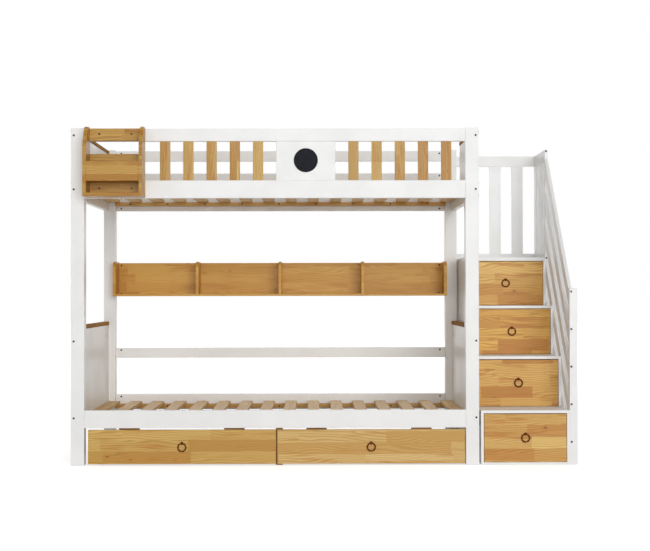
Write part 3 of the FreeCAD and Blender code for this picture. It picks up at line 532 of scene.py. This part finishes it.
def settle(source: bpy.types.Object, name: str, body: str,
           nodes: list[str]) -> bpy.types.Object:
    """Turn a Geometry Nodes object into a plain piece that stands for CAD nodes.

    Args:
        source: The object that carries the Geometry Nodes modifier.
        name: The finished piece's name.
        body: The CAD body it moves with.
        nodes: The CAD nodes it stands for.

    Returns:
        The finished piece.
    """
    bpy.context.view_layer.update()
    seen = source.evaluated_get(bpy.context.evaluated_depsgraph_get())
    mesh = bpy.data.meshes.new_from_object(seen)
    piece = bpy.data.objects.new(name, mesh)
    bpy.context.scene.collection.objects.link(piece)
    bpy.data.objects.remove(source)
    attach(piece, body)
    if nodes:
        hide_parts(*nodes)
    log.info("%s: %d faces", name, len(mesh.polygons))
    return piece


def geometry_tree(name: str, sizes: dict[str, float]) -> tuple[Tree, dict[str, Socket]]:
    """Start a Geometry Nodes tree with named number inputs.

    Args:
        name: The tree's name.
        sizes: Each input's name and value.

    Returns:
        The tree and its inputs' sockets by name.
    """
    tree = bpy.data.node_groups.new(name, "GeometryNodeTree")
    tree.interface.new_socket("Geometry", in_out="OUTPUT", socket_type="NodeSocketGeometry")
    for label, value in sizes.items():
        entry = tree.interface.new_socket(label, in_out="INPUT", socket_type="NodeSocketFloat")
        entry.default_value = value
    source = add_node(tree, "NodeGroupInput")
    return tree, {label: source.outputs[label] for label in sizes}


def run_tree(tree: Tree, name: str, sizes: dict[str, float]) -> bpy.types.Object:
    """Put a Geometry Nodes tree on an empty mesh and set its inputs by identifier.

    Args:
        tree: The Geometry Nodes tree.
        name: The carrier object's name.
        sizes: Each input's name and value.

    Returns:
        The object that carries the tree.
    """
    carrier = bpy.data.objects.new(name, bpy.data.meshes.new(name))
    bpy.context.scene.collection.objects.link(carrier)
    modifier = carrier.modifiers.new("Made", "NODES")
    modifier.node_group = tree
    for item in tree.interface.items_tree:
        if item.in_out == "INPUT" and item.name in sizes:
            modifier[item.identifier] = sizes[item.name]
    return carrier


def rounded_bar(tree: Tree, size: tuple[float | Socket, ...], radius: float) -> Socket:
    """Make a bar with rounded long edges: a filleted outline swept along the bar's length.

    Args:
        tree: The Geometry Nodes tree.
        size: The bar's width and thickness across, then its length.
        radius: The radius of the long edges.

    Returns:
        The bar's geometry, with its length along Z and its middle at the origin.
    """
    add = partial(add_node, tree)
    outline = add("GeometryNodeCurvePrimitiveQuadrilateral",
                  inputs={"Width": size[0], "Height": size[1]}).outputs[0]
    outline = add("GeometryNodeFilletCurve", {"mode": "POLY"},
                  {"Curve": outline, "Count": 4, "Radius": radius}).outputs[0]
    half = add(MATH, MULTIPLY, (size[2], 0.5)).outputs[0]
    below = add(MATH, MULTIPLY, (half, -1.0)).outputs[0]
    start = add("ShaderNodeCombineXYZ", inputs={2: below}).outputs[0]
    end = add("ShaderNodeCombineXYZ", inputs={2: half}).outputs[0]
    path = add("GeometryNodeCurvePrimitiveLine", inputs={"Start": start, "End": end}).outputs[0]
    return add("GeometryNodeCurveToMesh", inputs={
        "Curve": path, "Profile Curve": outline, "Fill Caps": True}).outputs[0]


@dataclass
class SlatRow:
    """A row of equal boards, set out along X by Geometry Nodes with a number for each board that
    its timber reads, so that no two look alike.

    Attributes:
        name: The finished piece's name.
        nodes: The CAD nodes that it stands for.
        body: The CAD body it moves with.
        slot: The record's material slot; not used.
        first: The lowest corner of the first board.
        size: The size of one board.
        pitch: The distance from one board to the next.
        count: How many boards there are.
        upright: Whether the boards stand, or lie along Y.
        radius: The radius of their long edges.
        seed: The first board's number.
    """

    name: str
    nodes: list[str]
    body: str
    slot: str
    first: Vector
    size: Vector
    pitch: float
    count: int
    upright: bool
    radius: float = 1.5 * MM
    seed: int = 3

    def build(self, finish: bpy.types.Material) -> bpy.types.Object:
        """Make the row.

        Args:
            finish: The boards' material.

        Returns:
            The finished piece.
        """
        length = self.size.z if self.upright else self.size.y
        thickness = self.size.y if self.upright else self.size.z
        sizes = {"Width": self.size.x, "Thickness": thickness, "Length": length,
                 "Pitch": self.pitch, "Boards": float(self.count)}
        tree, given = geometry_tree(f"{self.name}_tree", sizes)
        bar = rounded_bar(tree, (given["Width"], given["Thickness"], given["Length"]), self.radius)
        turn = (0.0 if self.upright else math.pi / 2, 0.0, 0.0)
        middle = self.first + self.size / 2
        add = partial(add_node, tree)
        bar = add("GeometryNodeTransform", inputs={"Geometry": bar, "Rotation": turn}).outputs[0]
        step = add("ShaderNodeCombineXYZ", inputs=(given["Pitch"],)).outputs[0]
        row = add("GeometryNodeMeshLine", {"mode": "OFFSET"}, {
            "Count": given["Boards"], "Start Location": tuple(middle), "Offset": step}).outputs[0]
        index = add("GeometryNodeInputIndex").outputs[0]
        number = add(MATH, ADD, (index, float(self.seed))).outputs[0]
        many = add("GeometryNodeInstanceOnPoints",
                   inputs={"Points": row, "Instance": bar}).outputs[0]
        named = add("GeometryNodeStoreNamedAttribute", {"data_type": "FLOAT", "domain": "INSTANCE"},
                    {"Geometry": many, "Name": "board", "Value": number}).outputs[0]
        real = add("GeometryNodeRealizeInstances", inputs=(named,)).outputs[0]
        done = add("GeometryNodeSetMaterial",
                   inputs={"Geometry": real, "Material": finish}).outputs[0]
        add("NodeGroupOutput", inputs=(done,))
        return settle(run_tree(tree, self.name, sizes), self.name, self.body, self.nodes)


@dataclass
class RingPull:
    """The ring of one drawer: a round bar bent to a circle, swept by Geometry Nodes.

    Attributes:
        drawer: The drawer's name.
        segments: The number of steps round the ring.
        round_segments: The number of steps round the bar.
    """

    drawer: str
    segments: int = 72
    round_segments: int = 16

    def build(self, finish: bpy.types.Material) -> bpy.types.Object:
        """Make the ring.

        Args:
            finish: The ring's material.

        Returns:
            The finished piece.
        """
        low, high = (Vector(corner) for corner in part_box(f"{self.drawer}_ring"))
        wire = (high.y - low.y) / 2
        sizes = {"Radius": (high.z - low.z) / 2 - wire, "Wire": wire}
        tree, given = geometry_tree(f"{self.drawer}_ring_tree", sizes)
        add = partial(add_node, tree)
        loop = add("GeometryNodeCurvePrimitiveCircle", {"mode": "RADIUS"},
                   {"Resolution": self.segments, "Radius": given["Radius"]}).outputs[0]
        bar = add("GeometryNodeCurvePrimitiveCircle", {"mode": "RADIUS"},
                  {"Resolution": self.round_segments, "Radius": given["Wire"]}).outputs[0]
        ring = add("GeometryNodeCurveToMesh",
                   inputs={"Curve": loop, "Profile Curve": bar}).outputs[0]
        ring = add("GeometryNodeTransform", inputs={
            "Geometry": ring, "Rotation": (math.pi / 2, 0.0, 0.0),
            "Translation": tuple((low + high) / 2)}).outputs[0]
        ring = add("GeometryNodeSetShadeSmooth", inputs={"Geometry": ring}).outputs[0]
        real = add("GeometryNodeRealizeInstances", inputs=(ring,)).outputs[0]
        done = add("GeometryNodeSetMaterial",
                   inputs={"Geometry": real, "Material": finish}).outputs[0]
        add("NodeGroupOutput", inputs=(done,))
        name = f"{self.drawer}_pull_ring"
        return settle(run_tree(tree, name, sizes), name, f"{self.drawer}_pull",
                      [f"{self.drawer}_ring"])


@dataclass
class Bed:
    """The white frame, its wooden boards and their finishes.

    Attributes:
        wear: The CAD nodes that wear each finish.
        slat_width: The width of a bed slat.
        slat_thickness: Its thickness.
        slat_pitch: The distance from one slat to the next.
        slat_count: How many slats a bunk has.
        guard_width: The width of a guard board.
        guard_pitch: The distance from one guard board to the next.
        guard_count: How many guard boards stand on each side of the panel.
        guard_starts: Where each side's first board stands, from the first of all.
        first_slat_number: The first slat's number.
        slat_number_step: The step from one bunk's numbers to the next bunk's.
        first_guard_number: The first guard board's number.
        guard_number_step: The step from one side's numbers to the next side's.
    """

    wear: dict[str, list[str]] = field(default_factory=lambda: {
        "white": ["front_left_post", "front_right_post", "back_left_post", "back_right_post",
                  "lower_side_rails", "upper_side_rails", "front_guard_top_rail",
                  "back_guard_rails", "front_guard_panel", "lower_end_panels", "upper_end_panels"],
        "disc": ["guard_panel_disc"],
        "bolt": ["frame_bolts", "ledger_screws"],
        "cap": ["end_panel_caps"],
        "slat": ["lower_slats", "upper_slats"],
        "ledger": ["slat_ledgers"],
        # The stop blocks and the centre leg wear a darker pine: partly their own tone, partly
        # painted shade for pieces seen only in shadow under the bed.
        "block": ["drawer_stop_blocks", "centre_leg"],
        "shelf": ["hanging_shelf"],
        "caddy": ["bedside_caddy"],
        "upright": ["front_guard_slats"]})
    slat_width: float = 62 * MM
    slat_thickness: float = 17 * MM
    slat_pitch: float = 125 * MM
    slat_count: int = 16
    guard_width: float = 50 * MM
    guard_pitch: float = 114.2 * MM
    guard_count: int = 5
    guard_starts: tuple[float, ...] = (0.0, 925.8 * MM)
    first_slat_number: int = 3
    slat_number_step: int = 40
    first_guard_number: int = 90
    guard_number_step: int = 20

    def dress(self, finishes: dict[str, bpy.types.Material]) -> None:
        """Give the bed's CAD nodes their finishes.

        Args:
            finishes: The materials by their short name.
        """
        for finish, nodes in self.wear.items():
            dress(nodes, finishes[finish])

    def build(self, finishes: dict[str, bpy.types.Material]) -> None:
        """Set out the bed slats and the guard slats.

        Args:
            finishes: The materials by their short name.
        """
        for number, label in enumerate(("lower_slats", "upper_slats")):
            low, high = (Vector(corner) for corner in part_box(label))
            size = Vector((self.slat_width, high.y - low.y, self.slat_thickness))
            seed = self.first_slat_number + self.slat_number_step * number
            SlatRow(f"{label}_boards", [label], "bed_frame", "slat_wood", low, size,
                    self.slat_pitch, self.slat_count, False, seed=seed).build(finishes["slat"])
        low, high = (Vector(corner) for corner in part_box("front_guard_slats"))
        size = Vector((self.guard_width, high.y - low.y, high.z - low.z))
        for number, start in enumerate(self.guard_starts):
            nodes = ["front_guard_slats"] if number == 0 else []
            seed = self.first_guard_number + self.guard_number_step * number
            SlatRow(f"guard_boards_{number + 1}", nodes, "bed_frame", "pine",
                    low + Vector((start, 0, 0)), size, self.guard_pitch, self.guard_count, True,
                    seed=seed).build(finishes["upright"])


@dataclass
class Stairs:
    """The white stair case, its rail and the landing guard.

    Attributes:
        white: The CAD nodes that wear the white lacquer.
    """

    white: list[str] = field(default_factory=lambda: [
        "stair_left_panel", "stair_right_panel", "stair_treads", "stair_landing",
        "stair_back_panel", "newel_post", "landing_post", "sloped_rails", "landing_guard"])

    def dress(self, finishes: dict[str, bpy.types.Material]) -> None:
        """Give the stairs' CAD nodes their finish.

        Args:
            finishes: The materials by their short name.
        """
        dress(self.white, finishes["white"])


@dataclass
class Drawers:
    """The six drawers with their fronts, boxes, wheels and ring pulls.

    Attributes:
        low: The names of the drawers under the bed.
        stair: The names of the drawers in the stairs, from the floor up.
    """

    low: tuple[str, ...] = ("left_drawer", "right_drawer")
    stair: tuple[str, ...] = tuple(f"stair_drawer_{number}" for number in range(1, 5))

    def dress(self, finishes: dict[str, bpy.types.Material]) -> None:
        """Give the drawers' CAD nodes their finishes and build the rings.

        Args:
            finishes: The materials by their short name.
        """
        for name in self.low + self.stair:
            dress([f"{name}_front"], finishes[name])
            dress([f"{name}_box"], finishes["white" if name in self.low else "box"])
            dress([f"{name}_pull_base", f"{name}_ring"], finishes["bronze"])
            RingPull(name).build(finishes["bronze"])
        for name in self.low:
            dress([f"{name}_front_wheels", f"{name}_rear_wheels"], finishes["wheel"])


@dataclass(frozen=True)
class Lamp:
    """One soft square lamp that faces a point.

    Attributes:
        name: The lamp's name.
        place: Where it hangs, in metres.
        aim: The point it faces, in metres.
        size: The length of its side, in metres.
        power: Its power, in watts.
    """

    name: str
    place: Point
    aim: Point
    size: float
    power: float

    def build(self) -> None:
        """Hang the lamp."""
        data = bpy.data.lights.new(self.name, "AREA")
        data.shape = "SQUARE"
        data.size = self.size
        data.energy = self.power
        lamp = bpy.data.objects.new(self.name, data)
        lamp.location = self.place
        facing = Vector(self.aim) - Vector(self.place)
        lamp.rotation_euler = facing.to_track_quat("-Z", "Y").to_euler()
        bpy.context.scene.collection.objects.link(lamp)


@dataclass
class Studio:
    """The pale floor, the soft light and the camera at the photograph's viewpoint.

    Attributes:
        corner: The lowest front left corner of the bed, which the camera is placed from.
        eye: The camera's place from that corner, in millimetres.
        yaw: Its turn to the right, in degrees.
        pitch: Its tilt upwards, in degrees.
        roll: Its roll, in degrees.
        focal_px: Its focal length, in pixels of the photograph.
        frame_px: The photograph's width, in pixels.
        sensor: The width of the camera's sensor, in millimetres.
        far: The camera's far limit, in metres.
        sky: The strength of the even light from the room.
        floor_half: Half the width of the floor, in metres.
        floor_grey: The floor's red, green and blue.
        near_glow: A distance on the floor, in metres, and the glow up to there.
        far_glow: A distance on the floor, in metres, and the glow from there on.
        lamps: The lamps.
    """

    corner: Vector
    eye: Point = (1195.3, -6431.1, 849.2)
    yaw: float = 0.44
    pitch: float = 0.717
    roll: float = -0.099
    focal_px: float = 1311.4
    frame_px: int = 650
    sensor: float = 36.0
    far: float = 100.0
    sky: float = 0.33
    floor_half: float = 30.0
    floor_grey: float = 0.9
    near_glow: tuple[float, float] = (2.5, 0.6)
    far_glow: tuple[float, float] = (12.0, 0.78)
    lamps: tuple[Lamp, ...] = (
        Lamp("front", (3.2, -17.0, 2.0), (0.0, 0.3, 0.8), 11.0, 2280),
        Lamp("back", (-1.0, 14.0, 5.0), (0.0, 0.0, 0.9), 20.0, 800),
        Lamp("side", (-4.6, -5.2, 3.6), (0.0, 0.0, 0.9), 3.2, 14))

    def camera(self) -> None:
        """Place the camera."""
        data = bpy.data.cameras.new("camera")
        data.sensor_fit = "HORIZONTAL"
        data.sensor_width = self.sensor
        data.lens = self.focal_px / self.frame_px * self.sensor
        data.clip_end = self.far
        camera = bpy.data.objects.new("camera", data)
        yaw, pitch, roll = (math.radians(a) for a in (self.yaw, self.pitch, self.roll))
        forward = Vector((math.sin(yaw) * math.cos(pitch), math.cos(yaw) * math.cos(pitch),
                          math.sin(pitch)))
        level_right = Vector((math.cos(yaw), -math.sin(yaw), 0))
        level_up = level_right.cross(forward)
        right = math.cos(roll) * level_right + math.sin(roll) * level_up
        up = -math.sin(roll) * level_right + math.cos(roll) * level_up
        turn = Matrix((right, up, -forward)).transposed()
        place = self.corner + Vector(self.eye) * MM
        camera.matrix_world = Matrix.Translation(place) @ turn.to_4x4()
        bpy.context.scene.collection.objects.link(camera)
        bpy.context.scene.camera = camera

    def seen_white(self, tree: Tree) -> Socket:
        """Tell the rays that should meet a white background: straight, mirrored or passed on.

        Args:
            tree: The node tree.

        Returns:
            One for such a ray and zero for the rest.
        """
        path = add_node(tree, "ShaderNodeLightPath").outputs
        seen = add_node(tree, MATH, LARGER, (path["Is Camera Ray"],
                                             path["Is Glossy Ray"])).outputs[0]
        return add_node(tree, MATH, LARGER, (seen, path["Is Transmission Ray"])).outputs[0]

    def world(self) -> None:
        """Light the room evenly and show it white."""
        world = bpy.data.worlds.new("studio")
        world.use_nodes = True
        tree = world.node_tree
        tree.nodes.clear()
        strength = add_node(tree, MIX, {"data_type": "FLOAT"},
                            {0: self.seen_white(tree), 2: self.sky, 3: 1.0}).outputs[0]
        sky = add_node(tree, "ShaderNodeBackground", inputs={"Color": WHITE, "Strength": strength})
        add_node(tree, "ShaderNodeOutputWorld", inputs=(sky.outputs[0],))
        bpy.context.scene.world = world

    def floor(self) -> None:
        """Lay a wide white floor that keeps the object's shadow."""
        mesh = bpy.data.meshes.new("floor")
        half = self.floor_half
        mesh.from_pydata([(-half, -half, -MM), (half, -half, -MM), (half, half, -MM),
                          (-half, half, -MM)], [], [(0, 1, 2, 3)])
        floor = bpy.data.objects.new("floor", mesh)
        bpy.context.scene.collection.objects.link(floor)
        material, tree, place = start_material("floor_white")
        grey = (*[self.floor_grey] * 3, 1.0)
        plain = add_node(tree, "ShaderNodeBsdfDiffuse", inputs={"Color": grey})
        # The lamps fade with distance, so the far floor glows more to stay as white as the near.
        reach = add_node(tree, "ShaderNodeVectorMath", {"operation": "LENGTH"},
                         (place,)).outputs["Value"]
        (near, weak), (away, strong) = self.near_glow, self.far_glow
        lift = add_node(tree, RANGE, SMOOTH, (reach, near, away, weak, strong)).outputs[0]
        strength = add_node(tree, MATH, MULTIPLY, (self.seen_white(tree), lift)).outputs[0]
        glow = add_node(tree, "ShaderNodeEmission", inputs={"Color": WHITE, "Strength": strength})
        both = add_node(tree, "ShaderNodeAddShader", inputs=(plain.outputs[0], glow.outputs[0]))
        add_node(tree, "ShaderNodeOutputMaterial", inputs=(both.outputs[0],))
        mesh.materials.append(material)

    def build(self) -> None:
        """Set up the whole studio."""
        self.world()
        self.floor()
        for lamp in self.lamps:
            lamp.build()
        self.camera()
        bpy.context.scene.view_settings.view_transform = "Standard"
        log.info("studio ready")


def make_finishes() -> dict[str, bpy.types.Material]:
    """Make every finish the bed wears.

    Returns:
        The materials by the short name that the sub-assemblies use.
    """
    finishes = {
        "white": WhiteLacquer(),
        "slat": Timber("sanded_slat_pine", Grain.ALONG_Y, "e5c281", "d0aa65", "ae8748",
                       streak="cc9e58", strip_mm=400, length_mm=1500, knots=0.2, figure=0.4,
                       roughness=0.55, seed=2),
        "ledger": Timber("ledger_pine", Grain.ALONG_X, "d9ae68", "cb9b53", "a5763a",
                         streak="c08846", strip_mm=60, length_mm=700, seed=3),
        "cap": Timber("cap_pine", Grain.ALONG_Y, "b98a46", "a67636", "885a20", streak="a26e2c",
                      strip_mm=60, roughness=0.85, level=0.05, seed=5),
        # A darker pine: partly the pieces' own tone, partly painted shade, since they are seen only
        # in shadow under the bed.
        "block": Timber("block_pine_painted_shade", Grain.ALONG_X, "a37a49", "8f6636", "75502a", streak="865a2c",
                        strip_mm=60, seed=6),
        "shelf": Timber("shelf_pine", Grain.ALONG_X, "d7a64c", "c99438", "a16f24", streak="be802a",
                        strip_mm=48, length_mm=420, figure=0.3, seed=1),
        "caddy": Timber("caddy_pine", Grain.ALONG_X, "c79c4c", "b6852f", "885b1f", streak="a86b1f",
                        strip_mm=44, length_mm=300, seed=4),
        "upright": Timber("guard_slat_pine", Grain.ALONG_Z, "d2ae64", "b98e44", "946628",
                          streak="b1752e", strip_mm=400, length_mm=330, seed=7),
        "box": Timber("drawer_box_pine", Grain.ALONG_X, "e2cfae", "d5bd95", "bf9f70",
                      streak="d0b184", strip_mm=70, knots=0.15, figure=0.3, seed=8),
        "left_drawer": Timber("left_drawer_pine", Grain.ALONG_X, "d7b264", "c59b4b", "9b6d28",
                              streak="bd7f2e", strip_mm=56, length_mm=430, seed=9),
        "right_drawer": Timber("right_drawer_pine", Grain.ALONG_X, "e0c07f", "cfa860", "a77b36",
                               streak="c58d40", strip_mm=56, length_mm=430, seed=10),
        "bronze": Metal("antique_bronze", "46200c", "84441c", 0.45, patch_mm=4),
        "bolt": Metal("dark_plated_steel", "2c2a28", "4b4743", 0.4),
        "disc": DarkFace("matt_dark_disc", "191b21", "1e2127", 0.75, level=0.15),
        "wheel": DarkFace("moulded_wheel_nylon", "2a2a2b", "353536", 0.45),
    }
    stair_tints = (("e9c574", "d09e51"), ("ddb05d", "c38c3b"), ("e3b354", "ca913a"),
                   ("ebc16b", "d6a34e"))
    for number, (light, middle) in enumerate(stair_tints):
        name = f"stair_drawer_{number + 1}"
        finishes[name] = Timber(f"{name}_pine", Grain.ALONG_X, light, middle, "9f6724",
                                streak="b97124", strip_mm=58, length_mm=260, seed=20 + number)
    return {name: finish.build() for name, finish in finishes.items()}


def main() -> None:
    """Build the bed's looks and the studio round it."""
    logging.basicConfig(level=logging.INFO)
    finishes = make_finishes()
    bed = Bed()
    bed.dress(finishes)
    bed.build(finishes)
    Stairs().dress(finishes)
    Drawers().dress(finishes)
    corner = Vector(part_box("front_left_post")[0])
    Studio(corner).build()


if __name__ == "__main__":
    main()
